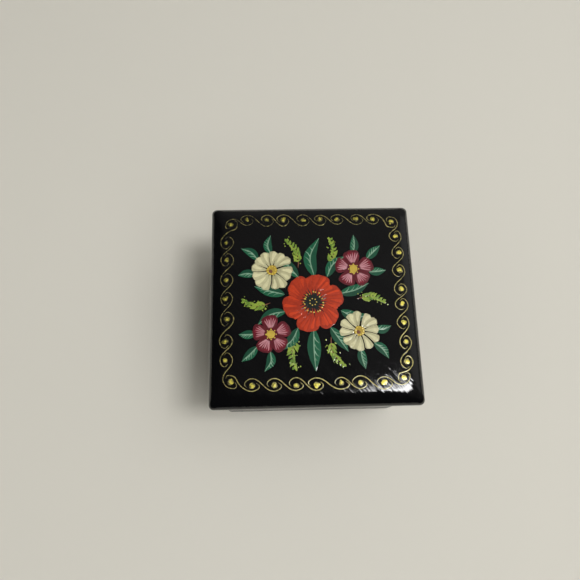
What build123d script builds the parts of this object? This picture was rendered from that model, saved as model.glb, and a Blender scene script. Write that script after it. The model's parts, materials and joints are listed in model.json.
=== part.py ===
from build123d import *
from math import atan, cos, pi, sin
import os

# A small square lacquered papier-mache box with a pillowed lid on a brass hinge at the back.
# Millimetres, +Z up, front at -Y. The origin is the middle of the underside, where the box rests on a table.
# The lid is modelled shut. It swings up about an axis along X that lies just behind the back wall.

# Lid
lid_width = 50.0  # outer side of the square lid
lid_overhang = 1.5  # how far the lid stands out past the wall, all round
lid_land = 0.8  # height of the upright band round the lid's rim
shoulder_width = 4.0  # how far in the round between that band and the top reaches
shoulder_height = 2.6  # how high that round stands above the band
crown_rise = 0.7  # how much the middle of the top stands above the shoulder
lid_corner_radius = 1.2  # plan radius of the lid's corners at the rim
corner_growth = 0.8  # how fast that radius grows towards the middle of the top
roundest_share = 0.9  # the most that radius may be, as a share of the half-width at the same level
rim_edge_round = 0.25  # lower edge of the rim
shoulder_steps = 7  # sections along the shoulder
crown_steps = 6  # sections along the crown
crown_tip = 1.0  # half-width of the last section at the middle of the top

# Box
seam_height = 30.0  # height of the seam between the box and the lid, and of the hinge axis
closing_gap = 0.1  # air left in the seam when the lid is shut
wall_thickness = 3.0
base_thickness = 2.5
body_corner_radius = 1.5
cavity_corner_radius = 0.8
wall_edge_round = 0.3  # rounding of the wall's top edges
base_edge_round = 0.8  # rounding of the lowest edge

# Locating board under the lid
plug_depth = 1.6
plug_clearance = 0.35  # between the board and the inside of the wall
plug_edge_chamfer = 0.4

# Hinge
hinge_length = 26.0
knuckle_count = 5
knuckle_gap = 0.1
pin_radius = 0.35
pin_clearance = 0.05
leaf_thickness = 0.35
leaf_setback = 0.55  # wall left standing inside the leaf
leaf_clearance = 0.05  # round a leaf in its recess
pivot_setback = 0.25  # axis behind the back face of the wall
knuckle_clearance = 0.2  # round the knuckles, in the recess along the seam
leaf_knuckle_clearance = 0.1  # between a leaf and the other leaf's knuckles
recess_end_clearance = 0.3  # past each end of the hinge

# Hinge nails
nail_count = 4  # in each leaf
nail_end_distance = 2.6  # from the end of a leaf to its first nail
nail_radius = 0.3
nail_head_radius = 0.65
nail_head_height = 0.3
nail_length = 3.0
nail_point = 0.6  # length of the tapered tip
nail_point_radius = 0.08
nail_clearance = 0.02

# Worked out from the above
body_width = lid_width - 2 * lid_overhang
cavity_width = body_width - 2 * wall_thickness
plug_width = cavity_width - 2 * plug_clearance
wall_top = seam_height - closing_gap / 2
lid_underside = seam_height + closing_gap / 2
pivot_y = body_width / 2 + pivot_setback
bore_radius = pin_radius + pin_clearance
knuckle_radius = bore_radius + leaf_thickness
recess_radius = knuckle_radius + knuckle_clearance
recess_length = hinge_length + 2 * recess_end_clearance
knuckle_length = (hinge_length - (knuckle_count - 1) * knuckle_gap) / knuckle_count
leaf_inner_y = cavity_width / 2 + leaf_setback
leaf_reach = pivot_y - leaf_inner_y
nail_y = (leaf_inner_y + pivot_y - recess_radius) / 2
nail_pitch = (hinge_length - 2 * nail_end_distance) / (nail_count - 1)


def rounded_block(width, radius, bottom, top):
    """An upright square block with rounded corners, centred on the axis of the box."""
    face = Plane.XY.offset(bottom) * RectangleRounded(width, width, radius)
    return extrude(face, top - bottom)


def lowest_edges(shape):
    return shape.edges().group_by(Axis.Z)[0]


def highest_edges(shape):
    return shape.edges().group_by(Axis.Z)[-1]


def rod(radius, start_x, end_x):
    """A round bar along the hinge axis."""
    middle = Pos((start_x + end_x) / 2, pivot_y, seam_height)
    return middle * Rot(0, 90, 0) * Cylinder(radius, end_x - start_x)


def lid_section(inset, height):
    """The lid's outline at one level: a rounded square that gets rounder towards the middle."""
    half_width = lid_width / 2 - inset
    radius = min(lid_corner_radius + corner_growth * inset, roundest_share * half_width)
    outline = RectangleRounded(2 * half_width, 2 * half_width, radius)
    return Plane.XY.offset(lid_underside + lid_land + height) * outline


def pillow():
    """The lid above its rim: a round shoulder that runs on into a shallow crown."""
    crown_slope = 2 * crown_rise / (lid_width / 2 - shoulder_width)
    shoulder_sweep = pi / 2 - atan(crown_slope * shoulder_width / shoulder_height)
    shoulder = []
    for step in range(shoulder_steps):
        turn = shoulder_sweep * step / (shoulder_steps - 1)
        shoulder.append(lid_section(shoulder_width * (1 - cos(turn)), shoulder_height * sin(turn)))
    crown_foot = shoulder_height * sin(shoulder_sweep)
    crown_half = lid_width / 2 - shoulder_width * (1 - cos(shoulder_sweep))
    crown = []
    for step in range(crown_steps):
        half_width = crown_half + (crown_tip - crown_half) * step / (crown_steps - 1)
        rise = crown_rise * (1 - (half_width / crown_half) ** 2)
        crown.append(lid_section(lid_width / 2 - half_width, crown_foot + rise))
    return loft(shoulder) + loft(crown)


def leaf_recess(floor, opening):
    """The shallow recess that a hinge leaf lies in, from its floor to the seam side, open at the back."""
    length = hinge_length + 2 * leaf_clearance
    front = leaf_inner_y - leaf_clearance
    back = lid_width / 2 + lid_overhang
    middle = Pos(0, (front + back) / 2, (floor + opening) / 2)
    return middle * Box(length, back - front, abs(opening - floor))


def nail_places():
    """Where the nails of one leaf stand along the hinge."""
    return [-hinge_length / 2 + nail_end_distance + nail_pitch * index for index in range(nail_count)]


def nail(clearance=0.0):
    """One countersunk nail with its head flush at the origin and its point straight down."""
    head = Pos(0, 0, -nail_head_height / 2) * Cone(
        nail_radius + clearance, nail_head_radius + clearance, nail_head_height
    )
    shank_length = nail_length - nail_point - nail_head_height
    shank = Pos(0, 0, -nail_head_height - shank_length / 2) * Cylinder(nail_radius + clearance, shank_length)
    point = Pos(0, 0, -nail_length + nail_point / 2) * Cone(
        nail_point_radius + clearance, nail_radius + clearance, nail_point
    )
    return head + shank + point


def nail_set(height, upwards, clearance=0.0):
    """The nails of one leaf, with their heads at a height and driven up or down."""
    turn = Rot(180, 0, 0) if upwards else Rot(0, 0, 0)
    return [Pos(x, nail_y, height) * turn * nail(clearance) for x in nail_places()]


def base_plate():
    plate = rounded_block(body_width, body_corner_radius, 0, base_thickness)
    return fillet(lowest_edges(plate), base_edge_round)


def wall_frame():
    outer = rounded_block(body_width, body_corner_radius, base_thickness, wall_top)
    cavity = rounded_block(cavity_width, cavity_corner_radius, base_thickness, wall_top)
    frame = fillet(highest_edges(outer - cavity), wall_edge_round)
    frame -= rod(recess_radius, -recess_length / 2, recess_length / 2)
    frame -= leaf_recess(wall_top - leaf_thickness, wall_top)
    for hole in nail_set(wall_top, False, nail_clearance):
        frame -= hole
    return frame


def lid_board():
    rim = rounded_block(lid_width, lid_corner_radius, lid_underside, lid_underside + lid_land)
    rim = fillet(lowest_edges(rim), rim_edge_round)
    board = rim + pillow()
    board -= rod(recess_radius, -recess_length / 2, recess_length / 2)
    # Behind the axis the recess runs out through the rim, so that the lid can swing down there.
    back = lid_width / 2 + lid_overhang
    recess_top = seam_height + recess_radius
    notch = Box(recess_length, back - pivot_y, recess_top - lid_underside)
    board -= Pos(0, (back + pivot_y) / 2, (recess_top + lid_underside) / 2) * notch
    board -= leaf_recess(lid_underside + leaf_thickness, lid_underside)
    for hole in nail_set(lid_underside, True, nail_clearance):
        board -= hole
    return board


def lid_plug():
    corner_radius = cavity_corner_radius + plug_edge_chamfer
    board = rounded_block(plug_width, corner_radius, lid_underside - plug_depth, lid_underside)
    return chamfer(lowest_edges(board), plug_edge_chamfer)


def knuckle_spans(first):
    """The start and end of every second knuckle, counted from the left end of the hinge."""
    spans = []
    for index in range(first, knuckle_count, 2):
        start = -hinge_length / 2 + index * (knuckle_length + knuckle_gap)
        spans.append((start, start + knuckle_length))
    return spans


def hinge_leaf(first_knuckle, other_knuckle, floor, face, heads_up, nails_up):
    """A flat leaf with its rolled knuckles, cleared for the other leaf, the pin and the nails."""
    plate = Box(hinge_length, leaf_reach, leaf_thickness)
    leaf = Pos(0, pivot_y - leaf_reach / 2, (floor + face) / 2) * plate
    clear_radius = knuckle_radius + leaf_knuckle_clearance
    for start, end in knuckle_spans(other_knuckle):
        leaf -= rod(clear_radius, start - knuckle_gap, end + knuckle_gap)
    for start, end in knuckle_spans(first_knuckle):
        leaf += rod(knuckle_radius, start, end)
    leaf -= rod(bore_radius, -hinge_length, hinge_length)
    for hole in nail_set(heads_up, nails_up, nail_clearance):
        leaf -= hole
    return leaf


def hinge_leaf_body():
    return hinge_leaf(0, 1, wall_top - leaf_thickness, wall_top, wall_top, False)


def hinge_leaf_lid():
    return hinge_leaf(1, 0, lid_underside + leaf_thickness, lid_underside, lid_underside, True)


def hinge_pin():
    return rod(pin_radius, -hinge_length / 2, hinge_length / 2)


def hinge_nails_body():
    return Compound(nail_set(wall_top, False))


def hinge_nails_lid():
    return Compound(nail_set(lid_underside, True))


os.makedirs("parts", exist_ok=True)
pieces = {
    "base_plate": base_plate(),
    "wall_frame": wall_frame(),
    "lid_board": lid_board(),
    "lid_plug": lid_plug(),
    "hinge_leaf_body": hinge_leaf_body(),
    "hinge_leaf_lid": hinge_leaf_lid(),
    "hinge_pin": hinge_pin(),
    "hinge_nails_body": hinge_nails_body(),
    "hinge_nails_lid": hinge_nails_lid(),
}
for name, shape in pieces.items():
    export_step(shape, f"parts/{name}.step")
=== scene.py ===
import bmesh
import bpy
import json
import math
import random
from mathutils import Matrix, Vector
from mathutils.bvhtree import BVHTree


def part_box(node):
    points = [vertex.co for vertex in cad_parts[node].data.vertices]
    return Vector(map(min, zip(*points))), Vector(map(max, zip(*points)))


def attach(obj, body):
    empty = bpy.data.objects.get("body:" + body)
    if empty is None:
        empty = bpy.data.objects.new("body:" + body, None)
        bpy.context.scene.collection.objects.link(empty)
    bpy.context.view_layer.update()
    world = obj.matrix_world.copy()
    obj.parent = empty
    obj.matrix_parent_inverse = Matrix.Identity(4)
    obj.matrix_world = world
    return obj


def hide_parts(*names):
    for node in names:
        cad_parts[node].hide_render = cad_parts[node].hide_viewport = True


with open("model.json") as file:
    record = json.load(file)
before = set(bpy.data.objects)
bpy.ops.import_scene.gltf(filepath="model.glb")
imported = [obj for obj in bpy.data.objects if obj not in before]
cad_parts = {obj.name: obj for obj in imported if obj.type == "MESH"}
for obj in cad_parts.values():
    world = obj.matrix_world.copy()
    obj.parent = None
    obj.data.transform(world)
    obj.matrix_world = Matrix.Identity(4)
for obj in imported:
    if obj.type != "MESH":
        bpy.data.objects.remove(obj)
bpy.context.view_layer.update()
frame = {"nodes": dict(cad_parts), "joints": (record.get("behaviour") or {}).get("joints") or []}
mm = 0.001
chance = random.Random(7)  # the painter's uneven hand, the same in each run
print("frame: loaded", len(frame["nodes"]), "pieces of the box")


def srgb(hexValue):  # sRGB hex to the linear colour that shaders take
    parts = [int(hexValue[i:i + 2], 16) / 255 for i in (1, 3, 5)]
    return [p / 12.92 if p <= 0.04045 else ((p + 0.055) / 1.055) ** 2.4 for p in parts] + [1.0]


def addNode(tree, kind, settings=None, sockets=None):  # a socket takes a value, or another node's output
    node = tree.nodes.new(kind)
    for name, value in (settings or {}).items():
        setattr(node, name, value)
    for name, value in (sockets or {}).items():
        if isinstance(value, bpy.types.NodeSocket):
            tree.links.new(value, node.inputs[name])
        else:
            node.inputs[name].default_value = value
    return node


def newMaterial(name):
    material = bpy.data.materials.new(name)
    material.use_nodes = True
    material.node_tree.nodes.clear()
    return material, material.node_tree


def newObject(name, data):
    piece = bpy.data.objects.new(name, data)
    bpy.context.scene.collection.objects.link(piece)
    return piece


# camera: the eye stands in front of the box and looks steeply down on the lid
camera = {
    "eye": (-9.50, -33.36, 153.43),  # mm
    "look": (0.0303, 0.2874, -0.9573),
    "up": (0.0176, 0.9575, 0.2879),
    "lens": 32.35,
}
camData = bpy.data.cameras.new("camera")
camData.lens = camera["lens"]
camData.sensor_width = 36
camData.clip_start = 0.005
camObject = newObject("camera", camData)
backward = -Vector(camera["look"]).normalized()
rightward = Vector(camera["up"]).cross(backward).normalized()
turn = Matrix((rightward, backward.cross(rightward), backward)).transposed()
camObject.matrix_world = Matrix.Translation(Vector(camera["eye"]) * mm) @ turn.to_4x4()
bpy.context.scene.camera = camObject

# light: a ceiling panel that shows in the gloss, soft boxes that fill, and a dim room, brighter behind
lamps = {
    "ceilingPanel": {"towards": (0.325, -0.084, 0.94), "distance": 0.8, "size": (0.2, 0.15), "radiance": 27.0},
    "sideBox": {"towards": (0.80, 0.25, 0.55), "distance": 0.9, "size": (0.6, 0.6), "radiance": 0.3},
    "softBox": {"towards": (0.42, -0.26, 0.87), "distance": 1.3, "size": (0.9, 2.0), "radiance": 1.8, "mirrored": False},
    "fillBox": {"towards": (-0.75, -0.20, 0.63), "distance": 1.3, "size": (1.0, 1.0), "radiance": 0.5, "mirrored": False},
}
for name, lamp in lamps.items():
    lampData = bpy.data.lights.new(name, "AREA")
    lampData.shape = "RECTANGLE"
    lampData.size, lampData.size_y = lamp["size"]
    lampData.energy = lamp["radiance"] * math.pi * lampData.size * lampData.size_y  # a flat panel's watts
    lampObject = newObject(name, lampData)
    aim = Vector(lamp["towards"]).normalized()
    level = (Vector((1, 0, 0)) - aim * aim.x).normalized()
    facing = Matrix((level, aim.cross(level), aim)).transposed()
    lampObject.matrix_world = Matrix.Translation(aim * lamp["distance"]) @ facing.to_4x4()
    lampObject.visible_glossy = lamp.get("mirrored", True)

room = {"dark": "#262627", "bright": "#858481", "brightSide": (0.60, 0.70, 0.40)}
world = bpy.data.worlds.new("room")
bpy.context.scene.world = world
world.use_nodes = True
tree = world.node_tree
tree.nodes.clear()
sight = addNode(tree, "ShaderNodeTexCoord")
facing = addNode(tree, "ShaderNodeVectorMath", {"operation": "DOT_PRODUCT"},
                 {0: sight.outputs["Generated"], 1: Vector(room["brightSide"]).normalized()})
share = addNode(tree, "ShaderNodeMapRange", {"interpolation_type": "SMOOTHSTEP"},
                {"Value": facing.outputs["Value"], "From Min": 0.1, "From Max": 1.0})
tint = addNode(tree, "ShaderNodeMix", {"data_type": "RGBA"},
               {"Factor": share.outputs["Result"], 6: srgb(room["dark"]), 7: srgb(room["bright"])})
glow = addNode(tree, "ShaderNodeBackground", None, {"Color": tint.outputs[2]})
addNode(tree, "ShaderNodeOutputWorld", None, {"Surface": glow.outputs[0]})
bpy.context.scene.view_settings.view_transform = "Standard"
print("light: panel, soft boxes and room set")


# cotton cloth, woven and pressed: matt, warm and even
def paleCotton():
    material, tree = newMaterial("paleCotton")
    shader = addNode(tree, "ShaderNodeBsdfPrincipled", None, {"Base Color": srgb("#d2cfc5"), "Roughness": 0.9})
    addNode(tree, "ShaderNodeOutputMaterial", None, {"Surface": shader.outputs[0]})
    return material


floor = {"flat": 0.9, "bend": 0.5, "wall": 1.3, "sides": 96}  # m: a level sheet that sweeps up all round


def sweptSheet(name, profile):  # (radius, height) pairs turned about the upright axis
    work = bmesh.new()
    rings = []
    for radius, height in profile:
        ring = []
        for i in range(floor["sides"]):
            a = math.tau * i / floor["sides"]
            ring.append(work.verts.new((radius * math.cos(a), radius * math.sin(a), height)))
        rings.append(ring)
    for near, far in zip(rings, rings[1:]):
        for i in range(floor["sides"]):
            j = (i + 1) % floor["sides"]
            work.faces.new((near[i], far[i], far[j], near[j])).smooth = True
    mesh = bpy.data.meshes.new(name)
    work.to_mesh(mesh)
    mesh.materials.append(cotton)
    sheet = newObject(name, mesh)
    return sheet


cotton = paleCotton()
sweptSheet("floor", [(0.001, 0), (0.05, 0), (floor["flat"], 0)])
arc = [i * math.pi / 16 for i in range(9)]
rise = [(floor["flat"] + floor["bend"] * math.sin(a), floor["bend"] * (1 - math.cos(a))) for a in arc]
backdrop = sweptSheet("backdrop", rise + [(floor["flat"] + floor["bend"], floor["wall"])])
backdrop.visible_glossy = False  # the gloss shows the dim room, as it would with no backdrop there
print("floor: laid, with a backdrop")


# hand polish: fine diagonal rubbing marks over a faint orange peel, which break up a highlight
rubbing = {"heading": -48, "long": 5, "wide": 0.75, "peel": 2.2, "peelDeep": 0.012}  # degrees and mm


def handPolish(tree, place, deep):
    along = addNode(tree, "ShaderNodeMapping", {"vector_type": "TEXTURE"},
                    {"Vector": place.outputs["Object"], "Rotation": (0, 0, math.radians(rubbing["heading"])),
                     "Scale": (rubbing["long"] * mm, rubbing["wide"] * mm, rubbing["long"] * mm)})
    rubs = addNode(tree, "ShaderNodeTexNoise", None, {"Vector": along.outputs[0], "Scale": 1.0, "Detail": 2.0})
    peel = addNode(tree, "ShaderNodeTexNoise", None,
                   {"Vector": place.outputs["Object"], "Scale": 1 / (rubbing["peel"] * mm), "Detail": 1.0})
    first = addNode(tree, "ShaderNodeBump", None,
                    {"Height": peel.outputs["Fac"], "Distance": rubbing["peelDeep"] * mm})
    return addNode(tree, "ShaderNodeBump", None,
                   {"Height": rubs.outputs["Fac"], "Distance": deep * mm, "Normal": first.outputs[0]})


# oil lacquer on papier-mache, brushed on, baked and rubbed down: a deep even gloss, hazed a little by handling;
# where hands have worn it, past a distance from the middle, the brown board shows through in flecks
finishes = {  # mm
    "blackLacquer": {"deep": "#030304", "light": "#0b0b0c", "haze": (0.05, 0.13), "gloss": 0.5, "rubs": 0.06,
                     "wornPast": 49.3},
    "blackLacquerSides": {"deep": "#040405", "light": "#0b0b0c", "haze": (0.24, 0.36), "gloss": 0.3, "rubs": 0.02,
                          "wornPast": 46.0},  # polished less
    "blackLacquerUnder": {"deep": "#040405", "light": "#0b0b0c", "haze": (0.24, 0.36), "gloss": 0.3, "rubs": 0.02,
                          "wornPast": 49.3},
    "redLacquer": {"deep": "#5e0d08", "light": "#8a1710", "haze": (0.2, 0.32), "gloss": 0.5, "rubs": 0.015,
                   "wornPast": 60.0},
}
cloudy = {"size": 9, "wornEdge": 1.5, "fleck": 1.1, "board": "#3b291c"}  # mm


def rubbedLacquer(name):
    finish = finishes[name]
    material, tree = newMaterial(name)
    place = addNode(tree, "ShaderNodeTexCoord")
    cloud = addNode(tree, "ShaderNodeTexNoise", None,
                    {"Vector": place.outputs["Object"], "Scale": 1 / (cloudy["size"] * mm), "Detail": 3.0})
    tint = addNode(tree, "ShaderNodeMix", {"data_type": "RGBA"},
                   {"Factor": cloud.outputs["Fac"], 6: srgb(finish["deep"]), 7: srgb(finish["light"])})
    dull = addNode(tree, "ShaderNodeMapRange", None,
                   {"Value": cloud.outputs["Fac"], "From Min": 0.35, "From Max": 0.75,
                    "To Min": finish["haze"][0], "To Max": finish["haze"][1]})
    fold = addNode(tree, "ShaderNodeVectorMath", {"operation": "ABSOLUTE"}, {0: place.outputs["Object"]})
    corner = addNode(tree, "ShaderNodeVectorMath", {"operation": "DOT_PRODUCT"},
                     {0: fold.outputs[0], 1: (1, 1, 0)})
    edge = addNode(tree, "ShaderNodeMapRange", None,
                   {"Value": corner.outputs["Value"], "From Max": (finish["wornPast"] + 0.4 * cloudy["wornEdge"]) * mm,
                    "From Min": (finish["wornPast"] - 0.6 * cloudy["wornEdge"]) * mm})
    fleck = addNode(tree, "ShaderNodeTexNoise", None,
                    {"Vector": place.outputs["Object"], "Scale": 1 / (cloudy["fleck"] * mm), "Detail": 5.0,
                     "Roughness": 0.7})
    meet = addNode(tree, "ShaderNodeMath", {"operation": "MULTIPLY"},
                   {0: edge.outputs["Result"], 1: fleck.outputs["Fac"]})
    bare = addNode(tree, "ShaderNodeMapRange", None,
                   {"Value": meet.outputs[0], "From Min": 0.42, "From Max": 0.56})
    worn = addNode(tree, "ShaderNodeMix", {"data_type": "RGBA"},
                   {"Factor": bare.outputs["Result"], 6: tint.outputs[2], 7: srgb(cloudy["board"])})
    relief = handPolish(tree, place, finish["rubs"])
    shader = addNode(tree, "ShaderNodeBsdfPrincipled", None,
                     {"Base Color": worn.outputs[2], "Roughness": dull.outputs["Result"], "IOR": 1.5,
                      "Specular IOR Level": finish["gloss"], "Normal": relief.outputs[0]})
    addNode(tree, "ShaderNodeOutputMaterial", None, {"Surface": shader.outputs[0]})
    return material


lidLacquer = rubbedLacquer("blackLacquer")
sideLacquer = rubbedLacquer("blackLacquerSides")
underLacquer = rubbedLacquer("blackLacquerUnder")
redLacquer = rubbedLacquer("redLacquer")


# rolled brass, cut and filed, gone dull with age: yellow metal, browner where tarnish sits
def agedBrass(name, bright, dark):
    material, tree = newMaterial(name)
    place = addNode(tree, "ShaderNodeTexCoord")
    tarnish = addNode(tree, "ShaderNodeTexNoise", None,
                      {"Vector": place.outputs["Object"], "Scale": 1 / (1.6 * mm), "Detail": 5.0})
    tint = addNode(tree, "ShaderNodeMix", {"data_type": "RGBA"},
                   {"Factor": tarnish.outputs["Fac"], 6: srgb(bright), 7: srgb(dark)})
    dull = addNode(tree, "ShaderNodeMapRange", None,
                   {"Value": tarnish.outputs["Fac"], "To Min": 0.2, "To Max": 0.5})
    shader = addNode(tree, "ShaderNodeBsdfPrincipled", None,
                     {"Base Color": tint.outputs[2], "Metallic": 1.0, "Roughness": dull.outputs["Result"]})
    addNode(tree, "ShaderNodeOutputMaterial", None, {"Surface": shader.outputs[0]})
    return material


leafBrass = agedBrass("agedBrass", "#c8a05a", "#86642f")
nailBrass = agedBrass("agedBrassNails", "#dcbb78", "#5f4420")

# box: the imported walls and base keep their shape, black outside and red within
walls = {"lip": 0.28}  # mm of the wall's rounded inner edge that is red too
wallLow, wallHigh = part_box("wall_frame")
plugLow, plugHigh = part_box("lid_plug")
cavityHalf = plugHigh.x + 0.35 * mm
for name in ("wall_frame", "base_plate"):
    mesh = frame["nodes"][name].data
    mesh.materials.clear()
    mesh.materials.append(sideLacquer)
    mesh.materials.append(redLacquer)
    for face in mesh.polygons:
        inside = max(abs(face.center.x), abs(face.center.y)) < cavityHalf + walls["lip"] * mm
        above = face.center.z > wallLow.z - 0.01 * mm
        face.material_index = 1 if inside and above else 0
plugMesh = frame["nodes"]["lid_plug"].data
plugMesh.materials.clear()
plugMesh.materials.append(redLacquer)
for name in ("hinge_leaf_body", "hinge_leaf_lid", "hinge_pin", "hinge_nails_body", "hinge_nails_lid"):
    mesh = frame["nodes"][name].data
    mesh.materials.clear()
    mesh.materials.append(nailBrass if "nails" in name else leafBrass)
print("box: lacquered black and red, hinge in brass")

# lid: the same rounded-square levels as the solid, drawn finely enough for clean reflections
lid = {
    "land": 0.8, "shoulderWidth": 4.0, "shoulderHeight": 2.6, "crown": 0.6,  # mm; the crown leaves room for paint
    "corner": 1.2, "cornerGrowth": 0.8, "roundest": 0.9, "rimRound": 0.25,
    "sidePoints": 44, "cornerPoints": 14, "rimRings": 5, "shoulderRings": 22, "crownRings": 36, "eye": 0.2,
    "facingDown": -0.9,
}
lidLow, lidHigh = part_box("lid_board")
lidHalf = (lidHigh.x - lidLow.x) / 2 / mm
lidFloor = lidLow.z / mm


def lidProfile():  # (inset, height) pairs from the rim's lower edge to the middle of the top
    wide, high = lid["shoulderWidth"], lid["shoulderHeight"]
    rows = []
    for i in range(lid["rimRings"] + 1):
        a = math.pi / 2 * (i / lid["rimRings"] - 1)
        rows.append((lid["rimRound"] * (1 - math.cos(a)), lid["rimRound"] * (1 + math.sin(a))))
    slope = 2 * lid["crown"] / (lidHalf - wide)
    sweep = math.pi / 2 - math.atan(slope * wide / high)  # where the shoulder meets the crown without a crease
    for i in range(lid["shoulderRings"] + 1):
        a = sweep * i / lid["shoulderRings"]
        rows.append((wide * (1 - math.cos(a)), lid["land"] + high * math.sin(a)))
    foot, footHeight = lidHalf - rows[-1][0], rows[-1][1]
    for i in range(1, lid["crownRings"] + 1):
        half = foot + (lid["eye"] - foot) * i / lid["crownRings"]
        rows.append((lidHalf - half, footHeight + lid["crown"] * (1 - (half / foot) ** 2)))
    return rows


def roundedSquare(half, radius, sidePoints, cornerPoints):
    points = []
    for quarter in range(4):
        spin = Matrix.Rotation(quarter * math.pi / 2, 2)
        for i in range(sidePoints):
            points.append(spin @ Vector(((half - radius) * (2 * i / sidePoints - 1), -half)))
        for i in range(cornerPoints):
            a = math.pi / 2 * (i / cornerPoints - 1)
            points.append(spin @ Vector((half - radius + radius * math.cos(a), radius - half + radius * math.sin(a))))
    return points


def lidMesh():
    work = bmesh.new()
    rings = []
    for inset, height in lidProfile():
        half = lidHalf - inset
        radius = min(lid["corner"] + lid["cornerGrowth"] * inset, lid["roundest"] * half)
        outline = roundedSquare(half, radius, lid["sidePoints"], lid["cornerPoints"])
        rings.append([work.verts.new((p.x * mm, p.y * mm, (lidFloor + height) * mm)) for p in outline])
    for lower, upper in zip(rings, rings[1:]):
        for i in range(len(lower)):
            j = (i + 1) % len(lower)
            work.faces.new((lower[i], lower[j], upper[j], upper[i]))
    work.faces.new(rings[-1])
    for face in work.faces:
        face.smooth = True
    work.faces.new(reversed(rings[0]))
    mesh = bpy.data.meshes.new("lid_shell")
    work.to_mesh(mesh)
    return mesh


lidPiece = newObject("lid_shell", lidMesh())
lidPiece.data.materials.append(lidLacquer)
lidTop = BVHTree.FromPolygons([v.co for v in lidPiece.data.vertices], [p.vertices for p in lidPiece.data.polygons])

# hinge recess: the lid is cut away round the knuckles, out to the back, and for the leaf
recess = {"round": 0.2, "ends": 0.3, "leafGap": 0.05, "sides": 48}  # mm of air
hinge = frame["joints"][0]
pivot = Vector(hinge["pos_m"])
leafLow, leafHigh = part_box("hinge_leaf_lid")
pinLow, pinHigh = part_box("hinge_pin")
bodyLeafLow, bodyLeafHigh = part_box("hinge_leaf_body")
knuckle = leafHigh.y - pivot.y
recessRadius = knuckle + recess["round"] * mm
recessHalf = pinHigh.x + recess["ends"] * mm
leafThick = bodyLeafHigh.z - bodyLeafLow.z


def cutterBox(low, high):
    work = bmesh.new()
    bmesh.ops.create_cube(work, size=1)
    bmesh.ops.scale(work, vec=Vector(high) - Vector(low), verts=work.verts)
    bmesh.ops.translate(work, vec=(Vector(low) + Vector(high)) / 2, verts=work.verts)
    return work


def cutterRod(radius, half):
    work = bmesh.new()
    spin = Matrix.Translation(pivot) @ Matrix.Rotation(math.pi / 2, 4, "Y")
    bmesh.ops.create_cone(work, cap_ends=True, segments=recess["sides"], radius1=radius, radius2=radius,
                          depth=2 * half, matrix=spin)
    return work


def cutLid(cutters):
    holders = []
    for index, work in enumerate(cutters):
        mesh = bpy.data.meshes.new("cutter")
        work.to_mesh(mesh)
        holder = newObject("cutter", mesh)
        holders.append(holder)
        cut = lidPiece.modifiers.new(f"cut{index}", "BOOLEAN")
        cut.operation = "DIFFERENCE"
        cut.solver = "EXACT"
        cut.object = holder
    reach = bpy.context.evaluated_depsgraph_get()
    finished = bpy.data.meshes.new_from_object(lidPiece.evaluated_get(reach))
    lidPiece.modifiers.clear()
    lidPiece.data = finished
    for holder in holders:
        bpy.data.objects.remove(holder)


below = lidLow.z - 1 * mm
past = lidHigh.y + 1 * mm
leafFloor = lidLow.z + 0.35 * mm
leafEdge = leafLow.y - recess["leafGap"] * mm
cutLid([
    cutterRod(recessRadius, recessHalf),
    cutterBox((-recessHalf, pivot.y, below), (recessHalf, past, pivot.z + recessRadius)),
    cutterBox((leafLow.x - recess["leafGap"] * mm, leafEdge, below), (leafHigh.x + recess["leafGap"] * mm, past, leafFloor)),
])
lidPiece.data.materials.append(underLacquer)
for face in lidPiece.data.polygons:
    face.material_index = 1 if face.normal.z < lid["facingDown"] else 0  # the underside is polished less
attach(lidPiece, "lid")
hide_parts("lid_board")
print("lid: shaped and cut for its hinge")


# tempera under clear varnish: flat colour streaked by the brush, darker where thin, with the lacquer's gloss on top
def varnishedPaint(name, deep, light):
    material, tree = newMaterial(name)
    place = addNode(tree, "ShaderNodeTexCoord")
    load = addNode(tree, "ShaderNodeAttribute", {"attribute_name": "tone"})
    streak = addNode(tree, "ShaderNodeTexNoise", None,
                     {"Vector": place.outputs["Object"], "Scale": 1 / (0.7 * mm), "Detail": 4.0})
    share = addNode(tree, "ShaderNodeMath", {"operation": "MULTIPLY_ADD"},
                    {0: streak.outputs["Fac"], 1: 0.5, 2: load.outputs["Fac"]})
    tint = addNode(tree, "ShaderNodeMix", {"data_type": "RGBA"},
                   {"Factor": share.outputs[0], 6: srgb(deep), 7: srgb(light)})
    relief = handPolish(tree, place, finishes["blackLacquer"]["rubs"])
    shader = addNode(tree, "ShaderNodeBsdfPrincipled", None,
                     {"Base Color": tint.outputs[2], "Roughness": 0.5, "Specular IOR Level": 0.2, "Coat Weight": 1.0,
                      "Coat Roughness": 0.08, "Coat IOR": 1.5, "Coat Normal": relief.outputs[0]})
    addNode(tree, "ShaderNodeOutputMaterial", None, {"Surface": shader.outputs[0]})
    return material


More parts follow.
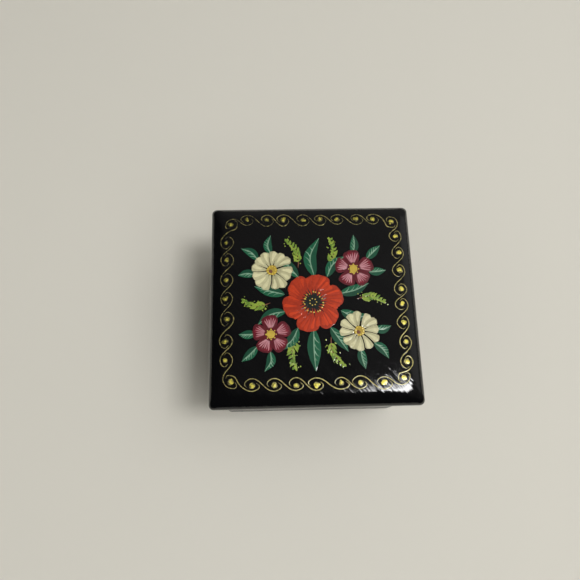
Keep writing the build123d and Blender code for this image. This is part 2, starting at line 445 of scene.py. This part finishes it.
# bronze powder in varnish, drawn with a fine brush: grains of gold, with the black showing between where it is thin
def bronzePaint(name, deep, light):
    material, tree = newMaterial(name)
    place = addNode(tree, "ShaderNodeTexCoord")
    load = addNode(tree, "ShaderNodeAttribute", {"attribute_name": "tone"})
    grain = addNode(tree, "ShaderNodeTexNoise", None,
                    {"Vector": place.outputs["Object"], "Scale": 1 / (0.55 * mm), "Detail": 3.0, "Roughness": 0.7})
    share = addNode(tree, "ShaderNodeMath", {"operation": "MULTIPLY_ADD"},
                    {0: grain.outputs["Fac"], 1: 4.2, 2: load.outputs["Fac"]})
    cover = addNode(tree, "ShaderNodeMapRange", None, {"Value": share.outputs[0], "From Min": 1.75, "From Max": 2.85})
    tint = addNode(tree, "ShaderNodeMix", {"data_type": "RGBA"},
                   {"Factor": cover.outputs["Result"], 6: srgb(deep), 7: srgb(light)})
    relief = handPolish(tree, place, finishes["blackLacquer"]["rubs"])
    shader = addNode(tree, "ShaderNodeBsdfPrincipled", None,
                     {"Base Color": tint.outputs[2], "Metallic": 0.35, "Roughness": 0.45, "Coat Weight": 0.8,
                      "Coat Roughness": 0.08, "Coat IOR": 1.5, "Coat Normal": relief.outputs[0]})
    addNode(tree, "ShaderNodeOutputMaterial", None, {"Surface": shader.outputs[0]})
    return material


# each colour is one thin piece of paint on the lid; a tone from 0 to 0.75 runs from its deep to its light shade
colours = {
    "border_scroll": (bronzePaint, "#1f1d0e", "#a59b5b"),
    "border_pearls": (bronzePaint, "#4d4a16", "#dccf50"),
    "leaf_green": (varnishedPaint, "#04221a", "#0b5639"),
    "leaf_lights": (varnishedPaint, "#3a684b", "#9abca2"),
    "sprig_green": (varnishedPaint, "#24601f", "#9fb142"),
    "twig_brown": (varnishedPaint, "#43241a", "#8c5a42"),
    "bloom_orange": (varnishedPaint, "#641002", "#c93d12"),
    "bloom_cream": (varnishedPaint, "#6a6544", "#d8d3a8"),
    "bloom_crimson": (varnishedPaint, "#30050d", "#7c1426"),
    "line_pink": (varnishedPaint, "#874650", "#cf989f"),
    "stamen_yellow": (varnishedPaint, "#836414", "#dfc552"),
    "heart_dark": (varnishedPaint, "#050a08", "#16211a"),
}
paints = {}
for name, (kind, deep, light) in colours.items():
    work = bmesh.new()
    paints[name] = {"work": work, "tone": work.verts.layers.float.new("tone"), "look": kind(name, deep, light)}


def onLid(place, lift, paint, tone):  # a point of paint at a height in mm above the lid
    ground = lidTop.ray_cast(Vector((place.x * mm, place.y * mm, 0.1)), Vector((0, 0, -1)))[0]
    point = paint["work"].verts.new(ground + Vector((0, 0, lift * mm)))
    point[paint["tone"]] = tone
    return point


def smoothLine(places, steps):  # a flowing line through a few places
    places = [Vector(p) for p in places]
    run = [places[0] * 2 - places[1]] + places + [places[-1] * 2 - places[-2]]
    spans = len(places) - 1
    line = []
    for i in range(steps + 1):
        k = min(int(spans * i / steps), spans - 1)
        t = spans * i / steps - k
        a, b, c, d = run[k:k + 4]
        line.append((b * 2 + (c - a) * t + (a * 2 - b * 5 + c * 4 - d) * t ** 2 + (b * 3 - a - c * 3 + d) * t ** 3) / 2)
    return line


def even(t):  # how wide a stroke is along its length: a drawn line
    return min(1, t / 0.15, (1 - t) / 0.3) ** 0.6


def comma(t):  # a loaded brush set down and drawn off to a point
    return min(1, t / 0.15) ** 0.5 * (1 - t) ** 0.7


def leafy(t):  # a leaf, pointed at both ends
    return math.sin(math.pi * t ** 0.8) ** 0.9


def petal(t):  # a narrow foot and a broad round tip
    return t ** 0.55 * (1 - t ** 5) ** 0.5


def stroke(name, places, width, shape, lift, tone, steps=14, across=4):
    paint = paints[name]
    line = smoothLine(places, steps)
    mound = min(0.018, 0.03 * width + 0.005)  # mm of paint along the middle
    rows = []
    for i, place in enumerate(line):
        heading = (line[min(i + 1, steps)] - line[max(i - 1, 0)]).normalized()
        aside = Vector((-heading.y, heading.x))
        half = max(width / 2 * shape(i / steps), 0.02)
        row = []
        for j in range(across + 1):
            s = 2 * j / across - 1
            row.append(onLid(place + aside * s * half, lift + mound * (1 - s * s) - 0.004, paint, tone))
        rows.append(row)
    for near, far in zip(rows, rows[1:]):
        for j in range(across):
            paint["work"].faces.new((near[j + 1], near[j], far[j], far[j + 1]))


def dab(name, place, radius, lift, tone, mound=0.03, sides=9):  # a touch of the brush tip, not quite round
    paint = paints[name]
    start = chance.uniform(0, math.tau)
    wobble = [chance.uniform(0.85, 1.12) for _ in range(sides)]
    rings = []
    for reach, rise in ((1.0, -0.004), (0.62, 0.7 * mound)):
        ring = []
        for i in range(sides):
            a = start + math.tau * i / sides
            edge = Vector(place) + Vector((math.cos(a), math.sin(a))) * radius * reach * wobble[i]
            ring.append(onLid(edge, lift + rise, paint, tone))
        rings.append(ring)
    top = onLid(Vector(place), lift + mound, paint, tone)
    for i in range(sides):
        j = (i + 1) % sides
        paint["work"].faces.new((rings[0][i], rings[0][j], rings[1][j], rings[1][i]))
        paint["work"].faces.new((rings[1][i], rings[1][j], top))


def around(place, bearing, reach):  # a place at a bearing in degrees and a distance from another
    a = math.radians(bearing)
    return (place[0] + reach * math.cos(a), place[1] + reach * math.sin(a))


# border: a running scroll that turns about a row of pearls, clockwise round the lid
border = {
    "halfX": 21.1, "halfY": 20.5, "centre": (0.1, 0.55), "corner": 3.4, "units": (9, 9, 8, 8), "shake": 0.35,
    "line": 0.28, "pearl": 0.52, "halo": 0.8,
    "scroll": ((-0.17, -0.6), (-0.31, 0.05), (-0.25, 0.8), (0.0, 1.3), (0.25, 1.0), (0.48, 0.1), (0.67, -0.85),
               (0.88, -1.5), (1.1, -1.55), (1.29, -0.95), (1.34, -0.2), (1.24, 0.35)),  # (share of the pitch, mm out)
}
straight = 2 * (border["halfY"] - border["corner"])
bend = border["corner"] * math.pi / 4
quarter = straight + 2 * bend


def borderPlace(travel, out):  # a place at a distance along the border from the back left corner, in mm
    side, along = divmod(travel / quarter, 1)
    along = along * quarter - bend
    radius, flat = border["corner"], straight / 2
    if 0 <= along <= straight:
        place = Vector((along - flat, flat + radius + out))
    else:
        past = along if along < 0 else along - straight
        a = math.pi / 2 - past / radius
        place = Vector((math.copysign(flat, along), flat))
        place += Vector((math.cos(a), math.sin(a))) * (radius + out)
    place = Matrix.Rotation(-side * math.pi / 2, 2) @ place
    return (place.x * border["halfX"] / border["halfY"] + border["centre"][0], place.y + border["centre"][1])


pearls = []
for side, units in enumerate(border["units"]):
    for k in range(units):
        pearls.append((side + k / units) * quarter + chance.uniform(-1, 1) * border["shake"])
pearls.append(pearls[0] + 4 * quarter)
for here, there in zip(pearls, pearls[1:]):
    pitch = there - here
    swing = chance.uniform(0.85, 1.12)
    curl = [borderPlace(here + u * pitch, v * swing) for u, v in border["scroll"]]
    middle = borderPlace(here, chance.uniform(-0.2, 0.2))
    goldPaintedLight = 0.5 - 0.012 * (middle[1] - middle[0])  # painted light: the gold is painted lighter towards the front right, the side that the lamp lights and where the gloss shines
    stroke("border_scroll", curl, border["line"] * chance.uniform(0.8, 1.15), even, 0.0, goldPaintedLight - 0.1, 36, 3)
    dab("border_scroll", middle, border["halo"] * chance.uniform(0.85, 1.1), 0.0, goldPaintedLight - 0.45, 0.006, 12)
    for _ in range(4):
        touch = (middle[0] + chance.gauss(0, 0.22), middle[1] + chance.gauss(0, 0.22))
        dab("border_pearls", touch, border["pearl"] * chance.uniform(0.4, 0.9), 0.012, goldPaintedLight - chance.uniform(0.1, 0.5), 0.02)
    dab("border_pearls", middle, border["pearl"] * chance.uniform(0.45, 0.7), 0.025, goldPaintedLight + 0.15, 0.02)
print("border: painted", len(pearls) - 1, "scrolls")


# bouquet: a bunch of garden flowers, built up as such painting is, from dark shapes to light touches
def leaf(place, bearing, length, width):
    sway = chance.uniform(-9, 9)
    spine = [place, around(place, bearing - sway, length * 0.5), around(place, bearing + sway, length)]
    stroke("leaf_green", spine, width, leafy, 0.0, chance.uniform(0.15, 0.4), 16, 6)
    lit = [around(spine[0], bearing + 60, 0.1 * width), around(spine[1], bearing + 80, 0.2 * width), spine[2]]
    stroke("leaf_green", lit, width * 0.5, leafy, 0.014, 0.75, 14)
    ribs = smoothLine(spine, 12)
    for step in (2, 4, 6, 8):
        reach = 0.62 * width * leafy((step + 1.5) / 12)
        stroke("leaf_lights", [ribs[step], around(ribs[step], bearing + 26, reach * 0.55),
                               around(ribs[step], bearing + 36, reach)], 0.36, comma, 0.024, chance.uniform(0.0, 0.5), 8)
    stroke("leaf_lights", spine, 0.24, even, 0.026, 0.3, 14, 3)


def sprig(place, bearing, length):
    sway = chance.choice((-14, 14))
    stem = [place, around(place, bearing - sway, length * 0.5), around(place, bearing + sway * 0.4, length)]
    stroke("twig_brown", stem, 0.28, even, 0.0, chance.uniform(0.2, 0.6), 14, 3)
    for i, node in enumerate(smoothLine(stem, 9)[2:]):
        for side in (-1, 1):
            tilt = bearing + side * chance.uniform(35, 60)
            reach = (1.9 - 0.13 * i) * chance.uniform(0.85, 1.1)
            stroke("sprig_green", [node, around(node, tilt - 8 * side, reach * 0.5), around(node, tilt - 16 * side, reach)],
                   0.62, leafy, 0.004, chance.uniform(0.0, 0.5), 7)
        for _ in range(3):
            touch = around(node, chance.uniform(0, 360), chance.uniform(0.3, 1.5))
            dab("sprig_green", touch, chance.uniform(0.1, 0.2), 0.016, chance.uniform(0.3, 0.75), 0.012, 6)


def poppy(place, radius):
    for k in range(6):
        bearing = 60 * k + 12 + chance.uniform(-5, 5)
        far = radius * chance.uniform(0.95, 1.04)
        spine = [around(place, bearing - 6, 0.1 * radius), around(place, bearing, 0.55 * radius), around(place, bearing + 4, far)]
        stroke("bloom_orange", spine, radius * 0.98, petal, 0.03 + 0.004 * (k % 2), 0.2, 18, 8)
    for k in range(42):
        bearing = 360 / 42 * k + chance.uniform(-3, 3)
        near = radius * chance.uniform(0.42, 0.58)
        far = radius * (0.9 + 0.07 * math.cos(math.radians(6 * (bearing - 12)))) * chance.uniform(0.97, 1.02)
        fold = [around(place, bearing, far), around(place, bearing + 3, (near + far) / 2), around(place, bearing + 8, near)]
        stroke("bloom_orange", fold, radius * 0.13, comma, 0.05, chance.uniform(0.25, 0.75), 10)
    for k in range(24):
        bearing = 15 * k + chance.uniform(-4, 4)
        far = radius * chance.uniform(0.38, 0.5)
        blotch = [around(place, bearing, 0.2 * radius), around(place, bearing + 2, 0.32 * radius), around(place, bearing + 4, far)]
        stroke("heart_dark", blotch, radius * 0.07, comma, 0.054, 0.3, 7, 3)
    for k in range(20):
        speck = around(place, 18 * k + chance.uniform(-6, 6), radius * chance.uniform(0.27, 0.37))
        dab("stamen_yellow", speck, 0.2, 0.058, chance.uniform(0.2, 0.75), 0.014, 7)
    dab("heart_dark", place, radius * 0.24, 0.05, 0.2, 0.016, 16)
    for k in range(7):
        dab("stamen_yellow", around(place, 51 * k, radius * 0.11), 0.17, 0.064, 0.5, 0.01, 7)


def daisy(place, radius, petals):
    for k in range(petals):
        bearing = 360 / petals * k + chance.uniform(-4, 4)
        far = radius * chance.uniform(0.93, 1.05)
        spine = [around(place, bearing, far), around(place, bearing + 4, 0.6 * radius), around(place, bearing + 6, 0.2 * radius)]
        stroke("bloom_cream", spine, radius * 0.48, comma, 0.03 + 0.004 * (k % 3), chance.uniform(0.2, 0.4), 12, 6)
        ridge = [around(place, bearing - 3, far * 0.96), around(place, bearing + 2, 0.66 * radius), around(place, bearing + 4, 0.42 * radius)]
        stroke("bloom_cream", ridge, radius * 0.22, comma, 0.06, chance.uniform(0.55, 0.75), 10)
    dab("stamen_yellow", place, radius * 0.25, 0.06, 0.1, 0.025, 14)
    for k in range(9):
        dab("stamen_yellow", around(place, 40 * k, radius * 0.19), 0.17, 0.08, 0.65, 0.012, 7)
    dab("twig_brown", around(place, 225, radius * 0.07), radius * 0.1, 0.085, 0.2, 0.01, 8)


def mallow(place, radius):
    for k in range(5):
        bearing = 72 * k + 20 + chance.uniform(-4, 4)
        far = radius * chance.uniform(0.95, 1.04)
        spine = [around(place, bearing - 5, 0.1 * radius), around(place, bearing, 0.55 * radius), around(place, bearing + 5, far)]
        stroke("bloom_crimson", spine, radius * 1.12, petal, 0.03 + 0.005 * (k % 2), 0.1, 16, 8)
        for lean in (-26, -17, -9, 0, 9, 17, 26):
            tip = far * (0.95 - 0.0002 * lean ** 2) * chance.uniform(0.96, 1.0)
            fold = [around(place, bearing + lean, tip), around(place, bearing + lean * 0.9, 0.7 * radius),
                    around(place, bearing + lean * 0.7, 0.4 * radius)]
            stroke("bloom_crimson", fold, radius * 0.16, comma, 0.055, chance.uniform(0.3, 0.7), 9)
        for lean in (-21, -13, -4, 4, 13, 21):
            tip = far * chance.uniform(0.78, 0.9)
            vein = [around(place, bearing + lean * 0.6, 0.34 * radius), around(place, bearing + lean * 0.9, 0.6 * radius),
                    around(place, bearing + lean, tip)]
            stroke("line_pink", vein, radius * 0.06, even, 0.07, chance.uniform(0.0, 0.5), 9, 3)
    dab("stamen_yellow", place, radius * 0.22, 0.06, 0.25, 0.03, 12)
    for k in range(8):
        dab("stamen_yellow", around(place, 45 * k, radius * 0.26), 0.15, 0.08, 0.7, 0.012, 7)


bouquet = {  # places and sizes in mm, bearings in degrees
    "sprigs": (((-3.6, 8.0), 104, 7.4), ((3.4, 8.0), 76, 7.4), ((-3.8, -9.0), 254, 7.0), ((3.6, -9.0), 286, 7.0),
               ((-10.4, -0.6), 180, 6.2), ((10.2, 0.0), 0, 6.2)),
    "leaves": (((0.2, 5.8), 90, 10.2, 3.6), ((3.3, 5.6), 56, 7.2, 2.9), ((-3.6, 5.6), 126, 7.2, 2.9),
               ((-0.4, -7.2), 270, 9.8, 3.6), ((3.6, -6.8), 304, 7.0, 2.9), ((-4.0, -6.8), 234, 7.0, 2.9),
               ((6.2, 1.4), 16, 7.6, 3.0), ((6.2, -2.8), 342, 7.2, 2.9), ((-7.0, 1.4), 164, 7.6, 3.0),
               ((-7.0, -2.8), 198, 7.2, 2.9), ((-13.4, 10.4), 136, 5.0, 2.5), ((-10.2, 11.8), 98, 5.0, 2.4),
               ((-14.0, 6.6), 176, 4.2, 2.4), ((13.2, 10.2), 44, 5.0, 2.5), ((10.0, 11.6), 82, 5.0, 2.4),
               ((13.6, 6.8), 4, 4.2, 2.4), ((13.6, -10.6), 316, 5.0, 2.5), ((10.4, -11.8), 278, 5.0, 2.4),
               ((14.0, -7.2), 0, 4.0, 2.4), ((-13.6, -11.0), 224, 5.0, 2.5), ((-10.6, -12.2), 262, 4.8, 2.4),
               ((-14.0, -8.0), 182, 4.0, 2.4)),
    "poppy": ((-0.3, -0.6), 7.4),
    "daisies": (((-10.0, 7.6), 5.2, 13), ((10.4, -7.8), 4.9, 12)),
    "mallows": (((9.9, 7.6), 4.8), ((-10.4, -8.2), 4.6)),
}
for place, bearing, length in bouquet["sprigs"]:
    sprig(place, bearing, length)
for place, bearing, length, width in bouquet["leaves"]:
    leaf(place, bearing, length, width)
for place, radius in bouquet["mallows"]:
    mallow(place, radius)
for place, radius, petals in bouquet["daisies"]:
    daisy(place, radius, petals)
poppy(*bouquet["poppy"])

for name, paint in paints.items():
    mesh = bpy.data.meshes.new(name)
    paint["work"].to_mesh(mesh)
    mesh.polygons.foreach_set("use_smooth", [True] * len(mesh.polygons))
    mesh.materials.append(paint["look"])
    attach(newObject(name, mesh), "lid")
print("bouquet: painted in", len(paints), "colours")
